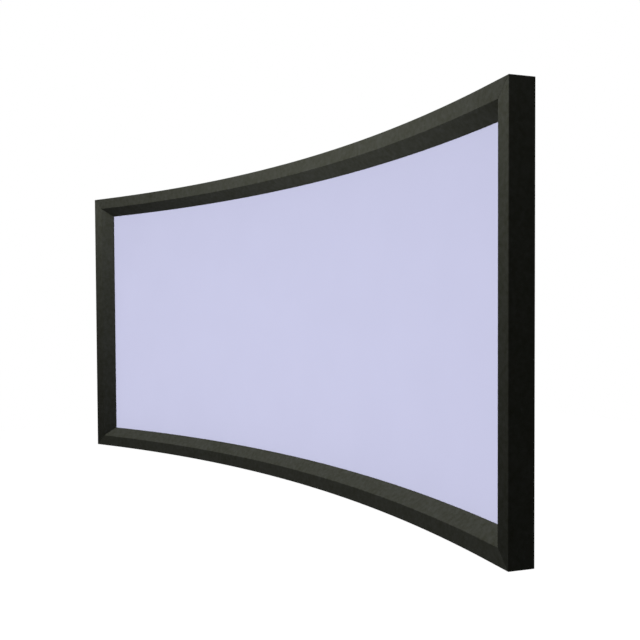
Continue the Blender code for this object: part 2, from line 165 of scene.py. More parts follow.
def flockedVelvet():
    # nylon flock 1 mm long on adhesive: black, no gloss, a faint bloom where it is seen edge on
    # and clouds where the nap lies another way. A fibre is too fine to show, so tufts are drawn.
    look = {"dark": "282920", "light": "393a36", "tuft": 1.2, "nap": 70, "lie": 14,
            "napShare": 0.5, "tuftShare": 1.2, "low": 0.9, "high": 1.8, "bump": 0.5}
    made, tree, shader = newMaterial("flocked velvet", {
        "Roughness": 1.0, "Specular IOR Level": 0.0,
        "Sheen Weight": 0.08, "Sheen Roughness": 0.4, "Sheen Tint": linear("b9bab2")})
    place = addNode(tree, "ShaderNodeTexCoord", {})
    nap = addNode(tree, "ShaderNodeTexNoise", {"Scale": perMetre(look["nap"]), "Detail": 3.0},
                  [("Vector", place.outputs["Object"])])
    lie = addNode(tree, "ShaderNodeTexNoise", {"Scale": perMetre(look["lie"]), "Detail": 2.0},
                  [("Vector", place.outputs["Object"])])
    tuft = addNode(tree, "ShaderNodeTexNoise", {"Scale": perMetre(look["tuft"]), "Detail": 4.0},
                   [("Vector", place.outputs["Object"])])
    clouds = addNode(tree, "ShaderNodeMath", {"operation": "MULTIPLY_ADD", 1: look["napShare"]},
                     [(0, nap.outputs["Fac"]), (2, lie.outputs["Fac"])])
    both = addNode(tree, "ShaderNodeMath", {"operation": "MULTIPLY_ADD", 1: look["tuftShare"]},
                   [(0, tuft.outputs["Fac"]), (2, clouds.outputs[0])])
    ramp = addNode(tree, "ShaderNodeMapRange", {"From Min": look["low"], "From Max": look["high"]},
                   [("Value", both.outputs[0])])
    colour = addNode(tree, "ShaderNodeMix", {"data_type": "RGBA", 6: linear(look["dark"]),
                     7: linear(look["light"])}, [(0, ramp.outputs[0])])
    bump = addNode(tree, "ShaderNodeBump", {"Strength": look["bump"], "Distance": 0.0004},
                   [("Height", tuft.outputs["Fac"])])
    dress(tree, shader, colour, bump)
    return made


def projectionFabric():
    # calendered PVC with a fine matt emboss: even, pale, hardly any highlight
    look = {"tone": "c8c9e5", "cast": "c4c5e1", "emboss": 0.9, "drift": 240, "bump": 0.08}
    made, tree, shader = newMaterial("matt PVC projection fabric", {
        "Roughness": 0.75, "Specular IOR Level": 0.12, "IOR": 1.53})
    place = addNode(tree, "ShaderNodeTexCoord", {})
    emboss = addNode(tree, "ShaderNodeTexVoronoi", {"Scale": perMetre(look["emboss"])},
                     [("Vector", place.outputs["Object"])])
    drift = addNode(tree, "ShaderNodeTexNoise", {"Scale": perMetre(look["drift"]), "Detail": 2.0},
                    [("Vector", place.outputs["Object"])])
    colour = addNode(tree, "ShaderNodeMix", {"data_type": "RGBA", 6: linear(look["tone"]),
                     7: linear(look["cast"])}, [(0, drift.outputs["Fac"])])
    bump = addNode(tree, "ShaderNodeBump", {"Strength": look["bump"], "Distance": 0.0001},
                   [("Height", emboss.outputs["Distance"])])
    dress(tree, shader, colour, bump)
    return made


def fabricBacking():
    # the same PVC backed with black, which stops light: smooth and nearly matt
    look = {"dark": "26272a", "light": "303135", "grain": 1.4, "bump": 0.15}
    made, tree, shader = newMaterial("black PVC backing", {
        "Roughness": 0.68, "Specular IOR Level": 0.22, "IOR": 1.53})
    place = addNode(tree, "ShaderNodeTexCoord", {})
    grain = addNode(tree, "ShaderNodeTexNoise", {"Scale": perMetre(look["grain"]), "Detail": 3.0},
                    [("Vector", place.outputs["Object"])])
    colour = addNode(tree, "ShaderNodeMix", {"data_type": "RGBA", 6: linear(look["dark"]),
                     7: linear(look["light"])}, [(0, grain.outputs["Fac"])])
    bump = addNode(tree, "ShaderNodeBump", {"Strength": look["bump"], "Distance": 0.0001},
                   [("Height", grain.outputs["Fac"])])
    dress(tree, shader, colour, bump)
    return made


def polyesterHem():
    # plain-woven polyester tape: threads show as a fine grid, drawn at twice their real spacing
    look = {"warp": "1b1b1d", "weft": "2a2a2d", "thread": 1.0, "bump": 0.5}
    made, tree, shader = newMaterial("woven polyester tape", {
        "Roughness": 0.85, "Specular IOR Level": 0.25, "Sheen Weight": 0.1})
    place = addNode(tree, "ShaderNodeTexCoord", {})
    threads = wavesPerMetre(look["thread"])
    across = addNode(tree, "ShaderNodeTexWave", {"bands_direction": "X", "Scale": threads},
                     [("Vector", place.outputs["Object"])])
    upward = addNode(tree, "ShaderNodeTexWave", {"bands_direction": "Z", "Scale": threads},
                     [("Vector", place.outputs["Object"])])
    weave = addNode(tree, "ShaderNodeMath", {"operation": "MULTIPLY"},
                    [(0, across.outputs["Fac"]), (1, upward.outputs["Fac"])])
    colour = addNode(tree, "ShaderNodeMix", {"data_type": "RGBA", 6: linear(look["warp"]),
                     7: linear(look["weft"])}, [(0, weave.outputs[0])])
    bump = addNode(tree, "ShaderNodeBump", {"Strength": look["bump"], "Distance": 0.0002},
                   [("Height", weave.outputs[0])])
    dress(tree, shader, colour, bump)
    return made


def bondedThread():
    # twisted polyester sewing thread, a shade lighter than the tape and a little glossy
    look = {"dark": "38383c", "light": "5a5a60", "twist": 0.5, "bump": 0.4}
    made, tree, shader = newMaterial("bonded polyester thread", {
        "Roughness": 0.5, "Specular IOR Level": 0.4, "Sheen Weight": 0.1})
    place = addNode(tree, "ShaderNodeTexCoord", {})
    twist = addNode(tree, "ShaderNodeTexWave", {
        "bands_direction": "DIAGONAL", "Scale": wavesPerMetre(look["twist"])},
                    [("Vector", place.outputs["Object"])])
    colour = addNode(tree, "ShaderNodeMix", {"data_type": "RGBA", 6: linear(look["dark"]),
                     7: linear(look["light"])}, [(0, twist.outputs["Fac"])])
    bump = addNode(tree, "ShaderNodeBump", {"Strength": look["bump"], "Distance": 0.0001},
                   [("Height", twist.outputs["Fac"])])
    dress(tree, shader, colour, bump)
    return made


def grainedMetal(name, look, settings):
    # a metal or coat whose colour and gloss vary with one grain
    made, tree, shader = newMaterial(name, settings)
    place = addNode(tree, "ShaderNodeTexCoord", {})
    stretch = addNode(tree, "ShaderNodeMapping", {"Scale": look["stretch"]},
                      [("Vector", place.outputs["Object"])])
    grain = addNode(tree, "ShaderNodeTexNoise", {"Scale": perMetre(look["grain"]), "Detail": 4.0},
                    [("Vector", stretch.outputs["Vector"])])
    colour = addNode(tree, "ShaderNodeMix", {"data_type": "RGBA", 6: linear(look["dark"]),
                     7: linear(look["light"])}, [(0, grain.outputs["Fac"])])
    gloss = addNode(tree, "ShaderNodeMapRange", {
        "To Min": look["smooth"], "To Max": look["rough"]}, [("Value", grain.outputs["Fac"])])
    bump = addNode(tree, "ShaderNodeBump", {"Strength": look["bump"], "Distance": 0.0001},
                   [("Height", grain.outputs["Fac"])])
    tree.links.new(gloss.outputs[0], shader.inputs["Roughness"])
    dress(tree, shader, colour, bump)
    return made


def drawnStock(name, look, settings):
    # stock drawn through a die has lines along it: one finish for level pieces, one for upright
    along = {"level": (look["draw"], 1, 1), "upright": (1, 1, look["draw"])}
    return {way: grainedMetal(f"{name}, {way}", {**look, "stretch": along[way]}, settings)
            for way in along}


def wayOf(side):
    return "level" if side in ("top", "bottom") else "upright"


velvet = flockedVelvet()
fabric = projectionFabric()
backing = fabricBacking()
tape = polyesterHem()
thread = bondedThread()
# black anodised aluminium: a dark metal satin with the die's fine lines along the bar
anodised = drawnStock("black anodised aluminium", {
    "dark": "1c1c1e", "light": "28282b", "grain": 1.5, "draw": 0.05,
    "smooth": 0.32, "rough": 0.5, "bump": 0.15}, {"Metallic": 0.7})
# zinc plate, passivated: grey with a little blue, cloudy
zinc = grainedMetal("passivated zinc plate", {
    "dark": "8a8e93", "light": "b2b6ba", "grain": 6, "stretch": (1, 1, 1),
    "smooth": 0.35, "rough": 0.55, "bump": 0.08}, {"Metallic": 1.0})
# powder coat: a low orange peel over black
powder = grainedMetal("black powder coat", {
    "dark": "19191a", "light": "222223", "grain": 1.8, "stretch": (1, 1, 1),
    "smooth": 0.42, "rough": 0.55, "bump": 0.3}, {"Metallic": 0.0, "IOR": 1.5})
# black oxide: a thin oiled film on steel, darker and duller than plate
blackened = grainedMetal("black oxide steel", {
    "dark": "202022", "light": "2e2e31", "grain": 1.2, "stretch": (1, 1, 1),
    "smooth": 0.35, "rough": 0.5, "bump": 0.1}, {"Metallic": 0.8})
# pultruded fibreglass: straw coloured, with glass strands along the rod
fibreglass = drawnStock("pultruded fibreglass", {
    "dark": "c2b98f", "light": "ddd6b4", "grain": 0.8, "draw": 0.04,
    "smooth": 0.35, "rough": 0.5, "bump": 0.2}, {"Metallic": 0.0, "IOR": 1.52})
print("materials made")


# Modelling

shaping = {
    "weld": 0.00001,         # points this close are one
    "flat": 0.2,             # degrees: faces this level are joined
    "bevelOver": 25,         # edges sharper than this are eased
    "smoothUnder": 35,       # and softer ones than this are shaded round
    "roundUnder": 40,        # the same on rods and hems
}


def only(piece):
    if bpy.context.mode != "OBJECT":
        bpy.ops.object.mode_set(mode="OBJECT")
    bpy.ops.object.select_all(action="DESELECT")
    bpy.context.view_layer.objects.active = piece
    piece.select_set(True)


def paint(piece, *materials):
    piece.data.materials.clear()
    for material in materials:
        piece.data.materials.append(material)


def settle(piece):
    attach(piece, "root")


def applyModifier(piece, kind, settings):
    only(piece)
    bpy.ops.object.modifier_add(type=kind)
    modifier = piece.modifiers[-1]
    for name, value in settings.items():
        setattr(modifier, name, value)
    bpy.ops.object.modifier_apply(modifier=modifier.name)


def shadeRound(piece, degrees):
    only(piece)
    bpy.ops.object.shade_smooth_by_angle(angle=math.radians(degrees))


def shadeFlats(piece):
    # flat faces stay flat, and the rounding alone turns the light
    shadeRound(piece, shaping["smoothUnder"])
    applyModifier(piece, "WEIGHTED_NORMAL", {"keep_sharp": True})


def softenEdges(piece, width):
    applyModifier(piece, "BEVEL", {"width": width, "segments": 2, "limit_method": "ANGLE",
                                   "angle_limit": math.radians(shaping["bevelOver"]),
                                   "harden_normals": False})
    shadeFlats(piece)


def mergedCopy(node, name):
    # a CAD piece's mesh is loose triangles, so the copy is merged and its flats are joined
    piece = bpy.data.objects.new(name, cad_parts[node].data.copy())
    bpy.context.scene.collection.objects.link(piece)
    only(piece)
    bpy.ops.object.mode_set(mode="EDIT")
    bpy.ops.mesh.select_all(action="SELECT")
    bpy.ops.mesh.remove_doubles(threshold=shaping["weld"])
    bpy.ops.mesh.dissolve_limited(angle_limit=math.radians(shaping["flat"]))
    bpy.ops.object.mode_set(mode="OBJECT")
    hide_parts(node)
    return piece


def cutFine(piece):
    # finer steps along the arc, still on the flats
    alongs = [unrolled(vert.co)[0] for vert in piece.data.vertices]
    only(piece)
    bpy.ops.object.mode_set(mode="EDIT")
    steps = arc["facets"] * arc["fine"]
    for i in range(1, steps):
        angle = -endAngle + 2 * endAngle * i / steps
        if i % arc["fine"] and min(alongs) < angle * arc["radius"] < max(alongs):
            bpy.ops.mesh.select_all(action="SELECT")
            bpy.ops.mesh.bisect(plane_co=arcCentre,
                                plane_no=(math.cos(angle), -math.sin(angle), 0))
    bpy.ops.object.mode_set(mode="OBJECT")


def roundOut(piece):
    # from the flats out to the true arc
    flatRadius = arc["radius"] * math.cos(facetAngle / 2)
    for vert in piece.data.vertices:
        flat = Vector((vert.co.x, vert.co.y, 0)) - arcCentre
        angle = math.atan2(flat.x, flat.y)
        if abs(angle) > endAngle + arc["past"]:
            continue
        facet = min(arc["facets"] - 1, int((angle + endAngle) / facetAngle))
        middle = -endAngle + facetAngle * (facet + 0.5)
        depth = flatRadius - flat.length * math.cos(angle - middle)
        place = arcCentre + flat.normalized() * (arc["radius"] - depth)
        vert.co = (place.x, place.y, vert.co.z)


def smoothCopy(node, name):
    piece = mergedCopy(node, name)
    cutFine(piece)
    roundOut(piece)
    return piece


def cutAlong(piece, spacing):
    # even cuts on a straight piece, so that it can bend
    low = min(vert.co.x for vert in piece.data.vertices)
    high = max(vert.co.x for vert in piece.data.vertices)
    only(piece)
    bpy.ops.object.mode_set(mode="EDIT")
    steps = int((high - low) / spacing)
    for i in range(1, steps):
        bpy.ops.mesh.select_all(action="SELECT")
        bpy.ops.mesh.bisect(plane_co=(low + (high - low) * i / steps, 0, 0), plane_no=(1, 0, 0))
    bpy.ops.object.mode_set(mode="OBJECT")


def bendOn(piece, side):
    # lays a piece modelled straight, as (along, depth, outward), on a side of the frame
    for vert in piece.data.vertices:
        vert.co = framePoint(side, *vert.co)
    only(piece)
    bpy.ops.object.mode_set(mode="EDIT")
    bpy.ops.mesh.select_all(action="SELECT")
    bpy.ops.mesh.normals_make_consistent(inside=False)
    bpy.ops.object.mode_set(mode="OBJECT")


def copyTo(piece, name, place):
    made = bpy.data.objects.new(name, piece.data.copy())
    made.data.transform(place)
    bpy.context.scene.collection.objects.link(made)
    return made


def bakePlace(piece):
    only(piece)
    bpy.ops.object.transform_apply(location=True, rotation=True, scale=True)


# The frame's bars

section = {
    "face": 0.046,           # front face, above the sheet
    "back": -0.0265,         # back flange
    "nose": 0.005,
    "bevel": 0.0345,
    "edge": 0.0007,          # the flock rounds every edge a little
    "skin": 0.0007,          # what counts as the outside when it is flocked
    "hair": 0.0005,          # the solids leave less than this between bars
}
barNodes = ("top_bar_left", "top_bar_right", "bottom_bar_left", "bottom_bar_right",
            "left_upright", "right_upright")


def onTheOutside(side, point):
    along, depth = unrolled(point)
    if side in ("left", "right"):
        out = abs(along) - halfPicture
    else:
        out = point.z - (height - frameWidth) if side == "top" else frameWidth - point.z
    rise = section["face"] - section["nose"]
    run = section["bevel"]
    fromBevel = ((depth - section["nose"]) * run - out * rise) / math.hypot(rise, run)
    skin = section["skin"]
    if depth > section["face"] - skin or out > frameWidth - skin:
        return True
    if depth < section["back"] + skin:
        return True
    return abs(fromBevel) < skin or (out < skin and depth < section["nose"])


def closeJoints(piece, side):
    # the keys and joiners pull the bars together, so no light shows between them
    hair = section["hair"]
    for vert in piece.data.vertices:
        along, depth = unrolled(vert.co)
        if side in ("left", "right"):
            out = abs(along) - halfPicture
            for mitre in (frameWidth - out, height - frameWidth + out):
                if abs(vert.co.z - mitre) < hair:
                    vert.co.z = mitre
            continue
        out = vert.co.z - (height - frameWidth) if side == "top" else frameWidth - vert.co.z
        if abs(along) < hair:
            vert.co = framePoint(side, 0, depth, out)
        elif abs(abs(along) - halfPicture - out) < hair:
            vert.co = framePoint(side, math.copysign(halfPicture + out, along), depth, out)


def flockBars():
    # outside in velvet, inside bare aluminium
    for node in barNodes:
        side = node.split("_")[0]
        piece = smoothCopy(node, "flocked_" + node)
        closeJoints(piece, side)
        softenEdges(piece, section["edge"])
        paint(piece, velvet, anodised[wayOf(side)])
        for face in piece.data.polygons:
            face.material_index = 0 if onTheOutside(side, face.center) else 1
        settle(piece)


flockBars()
print("bars flocked")


# The sheet

sheet = {"margin": 0.014, "across": 128, "up": 12}


def stretchSheet():
    width = arc["picture"] + 2 * sheet["margin"]
    tall = arc["pictureHeight"] + 2 * sheet["margin"]
    bpy.ops.object.select_all(action="DESELECT")
    bpy.ops.mesh.primitive_grid_add(x_subdivisions=sheet["across"], y_subdivisions=sheet["up"],
                                    size=1, location=(0, 0, height / 2),
                                    rotation=(math.radians(90), 0, 0))
    piece = bpy.context.object
    piece.name = "picture_sheet"
    piece.scale = (width, tall, 1)
    bakePlace(piece)
    for vert in piece.data.vertices:
        vert.co = arcPoint(vert.co.x, 0) + Vector((0, 0, vert.co.z))
    applyModifier(piece, "SOLIDIFY", {"thickness": arc["sheet"], "offset": -1.0})
    paint(piece, fabric, backing)
    for face in piece.data.polygons:
        face.material_index = 1 if face.normal.y > 0.5 else 0
    shadeRound(piece, shaping["smoothUnder"])
    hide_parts("screen_sheet")
    settle(piece)
    return piece, width, tall


pictureSheet, sheetWidth, sheetTall = stretchSheet()
print("sheet stretched")


# Behind the sheet: hems, rods and springs

rear = {
    "hemMiddle": -0.0015,    # the tail's middle, behind the sheet's front
    "hemThick": 0.0008,
    "hemStart": 0.002,       # outside the picture's edge
    "loopRadius": 0.0027,    # the hem's middle round the rod
    "flapEnd": 0.006,        # the hem folds back and is sewn down from here
    "flapTurn": 0.0009,
    "flapGap": 0.0001,
    "loopStep": 15,          # degrees
    "notchStart": 0.0131,
    "step": 0.024,           # between the cuts that let hems and rods bend
    "clear": 0.002,          # an even cut stays this far from a notch
    "rodDepth": -0.0042,
    "rodPlace": 0.017,
    "rodRadius": 0.002,
    "endGap": 0.004,         # hems and rods stop short of the picture's corners
    "notch": 0.014,
    "longSprings": 10,
    "shortSprings": 4,
}
spring = {
    "wire": 0.00045,
    "coil": 0.0026,
    "length": 0.026,
    "turns": 14,
    "steps": 12,
    "lipDepth": -0.019,      # tip of the back flange's lip
    "lipPlace": 0.0631,
    "lipHalf": 0.0011,
    "fit": 0.0003,
    "hook": (-20, 185),      # degrees round the rod
    "grip": (90, -45),       # degrees over the lip
    "bendStep": 15,
    "smoothUnder": 60,
    "lead": ((2.6, 0.4), (1.2, 0)),   # coil to lip: back from it and aside, in grips
}
# thread drawn twice as thick as it is, or it wouldn't show
stitch = {"length": 0.0030, "width": 0.0007, "height": 0.0004, "pitch": 0.0040,
          "rows": (0.0076, 0.0118)}


def sideRange(side):
    if side in ("top", "bottom"):
        return -halfPicture, halfPicture
    return frameWidth, height - frameWidth


def springPlaces(side):
    # the solids' springs, and one between each two of them, clear of the centre brace
    low, high = sideRange(side)
    count = rear["longSprings"] if side in ("top", "bottom") else rear["shortSprings"]
    pitch = (high - low) / count
    own = [low + pitch * (i + 0.5) for i in range(count)]
    between = [low + pitch * i for i in range(1, count)]
    if side in ("top", "bottom"):
        between = [along for along in between if abs(along) > pitch / 2]
    return own, between


def hemLine():
    # from the picture's edge out, round the rod, and back to lie behind itself
    centre = Vector((rear["rodPlace"], rear["rodDepth"]))
    behind = rear["hemMiddle"] - rear["hemThick"] - rear["flapGap"]
    inner = centre.x - rear["loopRadius"]
    line = [(rear["hemStart"], rear["hemMiddle"]), (rear["flapEnd"], rear["hemMiddle"]),
            (rear["notchStart"], rear["hemMiddle"])]
    for degrees in range(90, -181, -rear["loopStep"]):
        angle = math.radians(degrees)
        line.append(centre + Vector((math.cos(angle), math.sin(angle))) * rear["loopRadius"])
    turn = rear["flapTurn"]
    for degrees in range(0, 91, 2 * rear["loopStep"]):
        angle = math.radians(degrees)
        line.append((inner - turn + turn * math.cos(angle),
                     behind - turn + turn * math.sin(angle)))
    line += [(rear["notchStart"], behind), (rear["flapEnd"], behind)]
    return line


def hemStops(side):
    # even steps along the side, and the edges of every notch
    low, high = sideRange(side)
    low, high = low + rear["endGap"], high - rear["endGap"]
    own, between = springPlaces(side)
    edges = [along + sign * rear["notch"] / 2 for along in own + between for sign in (-1, 1)]
    count = int((high - low) / rear["step"])
    even = [low + (high - low) * i / count for i in range(count + 1)]
    even = [stop for stop in even if min(abs(stop - edge) for edge in edges) > rear["clear"]]
    return sorted(even + edges)


def openNotches(piece, side, stops, line):
    # the loop is cut away where a spring's hook goes round the rod
    places = [along for some in springPlaces(side) for along in some]
    first = next(i for i, spot in enumerate(line) if spot[0] >= rear["notchStart"])
    last = len(line) - 2
    for face in piece.data.polygons:
        column = (face.center.x + 0.5) * (len(stops) - 1)
        row = (face.center.y + 0.5) * (len(line) - 1)
        middle = (stops[int(column)] + stops[int(column) + 1]) / 2
        near = min(abs(middle - along) for along in places) < rear["notch"] / 2
        face.select = near and first < row < last
    only(piece)
    bpy.ops.object.mode_set(mode="EDIT")
    bpy.ops.mesh.delete(type="FACE")
    bpy.ops.object.mode_set(mode="OBJECT")


def makeHems():
    line = hemLine()
    bpy.context.tool_settings.mesh_select_mode = (False, False, True)
    for side in sides:
        stops = hemStops(side)
        bpy.ops.object.select_all(action="DESELECT")
        bpy.ops.mesh.primitive_grid_add(x_subdivisions=len(stops) - 1,
                                        y_subdivisions=len(line) - 1, size=1)
        piece = bpy.context.object
        piece.name = side + "_woven_hem"
        openNotches(piece, side, stops, line)
        for vert in piece.data.vertices:
            along = stops[round((vert.co.x + 0.5) * (len(stops) - 1))]
            out, depth = line[round((vert.co.y + 0.5) * (len(line) - 1))]
            vert.co = (along, depth, out)
        bendOn(piece, side)
        applyModifier(piece, "SOLIDIFY", {"thickness": rear["hemThick"], "offset": 0.0,
                                          "use_even_offset": True})
        shadeRound(piece, shaping["roundUnder"])
        paint(piece, tape)
        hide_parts(side + "_hem")
        settle(piece)
    bpy.context.tool_settings.mesh_select_mode = (True, False, False)


def makeRods():
    for side in sides:
        low, high = sideRange(side)
        long = high - low - 2 * rear["endGap"]
        bpy.ops.object.select_all(action="DESELECT")
        bpy.ops.mesh.primitive_cylinder_add(
            vertices=16, radius=rear["rodRadius"], depth=long,
            location=((low + high) / 2, rear["rodDepth"], rear["rodPlace"]),
            rotation=(0, math.radians(90), 0))
        piece = bpy.context.object
        piece.name = side + "_fibreglass_rod"
        bakePlace(piece)
        applyModifier(piece, "BEVEL", {"width": rear["rodRadius"] / 6, "segments": 2,
                                       "limit_method": "ANGLE",
                                       "angle_limit": math.radians(shaping["roundUnder"])})
        if side in ("top", "bottom"):
            cutAlong(piece, rear["step"])
        bendOn(piece, side)
        shadeRound(piece, shaping["roundUnder"])
        paint(piece, fibreglass[wayOf(side)])
        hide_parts(side + "_rod")
        settle(piece)


def springLine():
    # rod's centre is the origin; hook round the rod, coil, hook over the lip
    bend = rear["rodRadius"] + spring["wire"] + spring["fit"]
    lip = Vector((0, spring["lipDepth"] - rear["rodDepth"], spring["lipPlace"] - rear["rodPlace"]))
    grip = spring["lipHalf"] + spring["wire"] + spring["fit"]
    over = lip + Vector((0, grip, 0))
    ahead = over.normalized()
    beside = Vector((0, ahead.z, -ahead.y))
    points = []
    first, last = spring["hook"]
    for degrees in range(first, last + 1, spring["bendStep"]):
        angle = math.radians(degrees)
        points.append((beside * math.cos(angle) - ahead * math.sin(angle)) * bend)
    steps = spring["turns"] * spring["steps"]
    start = over.length / 2 - spring["length"] / 2
    for i in range(steps + 1):
        angle = 2 * math.pi * i / spring["steps"]
        around = Vector((1, 0, 0)) * math.sin(angle) - beside * math.cos(angle)
        points.append(ahead * (start + spring["length"] * i / steps) + around * spring["coil"])
    for back, aside in spring["lead"]:
        points.append(ahead * (over.length - back * grip) - beside * grip * aside)
    first, last = spring["grip"]
    for degrees in range(first, last - 1, -spring["bendStep"]):
        angle = math.radians(degrees)
        points.append(lip + Vector((0, math.sin(angle), math.cos(angle))) * grip)
    return points


def windSpring():
    curve = bpy.data.curves.new("spring wire", "CURVE")
    curve.dimensions = "3D"
    curve.bevel_depth = spring["wire"]
    curve.bevel_resolution = 2
    curve.use_fill_caps = True
    points = springLine()
    line = curve.splines.new("POLY")
    line.points.add(len(points) - 1)
    for spot, point in zip(line.points, points):
        spot.co = (*point, 1)
    wire = bpy.data.objects.new("spring wire", curve)
    bpy.context.scene.collection.objects.link(wire)
    only(wire)
    bpy.ops.object.convert(target="MESH")
    piece = bpy.context.object
    bpy.ops.object.mode_set(mode="EDIT")
    bpy.ops.mesh.select_all(action="SELECT")
    bpy.ops.mesh.remove_doubles(threshold=shaping["weld"])
    bpy.ops.mesh.normals_make_consistent(inside=False)
    bpy.ops.object.mode_set(mode="OBJECT")
    shadeRound(piece, spring["smoothUnder"])
    paint(piece, zinc)
    return piece


def hangSprings():
    master = windSpring()
    for side in sides:
        own, between = springPlaces(side)
        for i, along in enumerate(own + between):
            place = sideFrame(side, along, rear["rodDepth"], rear["rodPlace"])
            piece = copyTo(master, f"{side}_coil_spring_{i + 1:02d}", place)
            if i < len(own):
                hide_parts(f"{side}_spring_{i + 1:02d}")
            settle(piece)
    bpy.data.objects.remove(master, do_unlink=True)


def sewHems():
    # two rows of lockstitches hold the flap of each hem
    surface = rear["hemMiddle"] - 1.5 * rear["hemThick"] - rear["flapGap"]
    for side in sides:
        low, high = sideRange(side)
        first = low + 2 * rear["endGap"]
        count = int((high - low - 4 * rear["endGap"]) / stitch["pitch"])
        bpy.ops.object.select_all(action="DESELECT")
        bpy.ops.mesh.primitive_cube_add(size=1)
        piece = bpy.context.object
        piece.name = side + "_hem_stitches"
        piece.scale = (stitch["length"], stitch["height"], stitch["width"])
        piece.location = (first, surface, stitch["rows"][0])
        bakePlace(piece)
        applyModifier(piece, "BEVEL", {"width": stitch["height"] * 0.3, "segments": 1})
        applyModifier(piece, "ARRAY", {"count": 2, "use_relative_offset": False,
                                       "use_constant_offset": True,
                                       "constant_offset_displace":
                                       (0, 0, stitch["rows"][1] - stitch["rows"][0])})
        applyModifier(piece, "ARRAY", {"count": count, "use_relative_offset": False,
                                       "use_constant_offset": True,
                                       "constant_offset_displace": (stitch["pitch"], 0, 0)})
        bendOn(piece, side)
        paint(piece, thread)
        settle(piece)


makeHems()
makeRods()
hangSprings()
sewHems()
print("hems, rods and springs in")


# Keys, joiners, brace, clips and brackets

plateWork = {
    "zinc": {"edge": 0.0004, "slot": "zinc_steel", "nodes": (
        "top_left_corner_key", "top_right_corner_key", "bottom_left_corner_key",
        "bottom_right_corner_key", "top_joiner", "bottom_joiner")},
    "powder": {"edge": 0.0005, "slot": "coated_steel", "nodes": (
        "top_left_wall_bracket", "top_right_wall_bracket", "bottom_left_wall_bracket",
        "bottom_right_wall_bracket", "top_brace_clip", "bottom_brace_clip")},
    "anodised": {"edge": 0.0005, "slot": "bare_aluminium", "nodes": ("centre_brace",)},
}


bracket = {
    "plate": 0.003,
    "fold": 0.0034,          # outside of a fold in that plate
    "corner": 0.008,         # of the plate on the wall
    "near": 0.0002,          # how close a corner point lies to its plane
    "segments": 5,
    "hookDepth": -0.0157,    # front of the hook, behind the sheet's front
}
setScrew = {
    "radius": 0.0024,
    "length": 0.0046,
    "depth": 0.0414,         # its middle in the T-slot, above the sheet
    "slotMiddle": 0.06015,
    "socket": 0.00144,       # 2.5 mm across flats
    "socketDepth": 0.0022,
    "edge": 0.0002,
    "inset": 0.022,          # from a key's or joiner's end
    "keyLeg": 0.150,
    "joinerHalf": 0.150,
}
panScrew = {
    "radius": 0.0036,
    "height": 0.0018,
    "dome": 0.0013,
    "rim": 0.9,              # the dome's edge is past this share of half the height
    "segments": 4,
    "cross": 0.0040,
    "crossWidth": 0.0009,
    "crossDepth": 0.0011,
    "behind": -0.0265,       # the brace's back
    "places": (0.048, 0.022),   # outward, where each clip lies on the brace
}


def bevelEdges(piece, chosen, width, segments):
    bpy.context.tool_settings.mesh_select_mode = (False, True, False)
    only(piece)
    bpy.ops.object.mode_set(mode="EDIT")
    bpy.ops.mesh.select_all(action="DESELECT")
    bpy.ops.object.mode_set(mode="OBJECT")
    for edge in piece.data.edges:
        edge.select = chosen(*(piece.data.vertices[i].co for i in edge.vertices))
    bpy.ops.object.mode_set(mode="EDIT")
    bpy.ops.mesh.bevel(offset=width, segments=segments, affect="EDGES")
    bpy.ops.object.mode_set(mode="OBJECT")
    bpy.context.tool_settings.mesh_select_mode = (True, False, False)


def roundBracket(piece, node):
    # the press leaves each fold round, and the plate's corners are cut round
    up = 1 if node.startswith("top") else -1
    near = bracket["near"]
    wall = max(vert.co.y for vert in piece.data.vertices)
    plate = [vert.co for vert in piece.data.vertices if vert.co.y > wall - near]
    seat = max(co.z * up for co in plate)
    plateEnd = min(co.z * up for co in plate)

    def onFold(co):
        if abs(co.z * up - seat) < near:
            return abs(co.y - wall) < near
        atArm = abs(co.z * up - seat + bracket["plate"]) < near
        return atArm and abs(unrolled(co)[1] - bracket["hookDepth"]) < 2 * near

    def onCorner(first, second):
        level = abs(first.z - second.z) < near and abs(first.z * up - plateEnd) < near
        return level and abs(first.y - second.y) > bracket["plate"] / 2

    bevelEdges(piece, lambda first, second: onFold(first) and onFold(second),
               bracket["fold"], bracket["segments"])
    bevelEdges(piece, onCorner, bracket["corner"], bracket["segments"])


def finishPlates(work, material):
    for node in work["nodes"]:
        if node.endswith("wall_bracket"):
            piece = mergedCopy(node, "finished_" + node)
            roundBracket(piece, node)
        else:
            piece = smoothCopy(node, "finished_" + node)
        softenEdges(piece, work["edge"])
        paint(piece, material)
        settle(piece)


def cutOut(piece, cutter):
    applyModifier(piece, "BOOLEAN", {"object": cutter, "operation": "DIFFERENCE",
                                     "solver": "EXACT"})
    bpy.data.objects.remove(cutter, do_unlink=True)


def standingCylinder(vertices, radius, depth, y):
    # a cylinder from front to back
    bpy.ops.object.select_all(action="DESELECT")
    bpy.ops.mesh.primitive_cylinder_add(vertices=vertices, radius=radius, depth=depth,
                                        location=(0, y, 0), rotation=(math.radians(90), 0, 0))
    piece = bpy.context.object
    bakePlace(piece)
    return piece


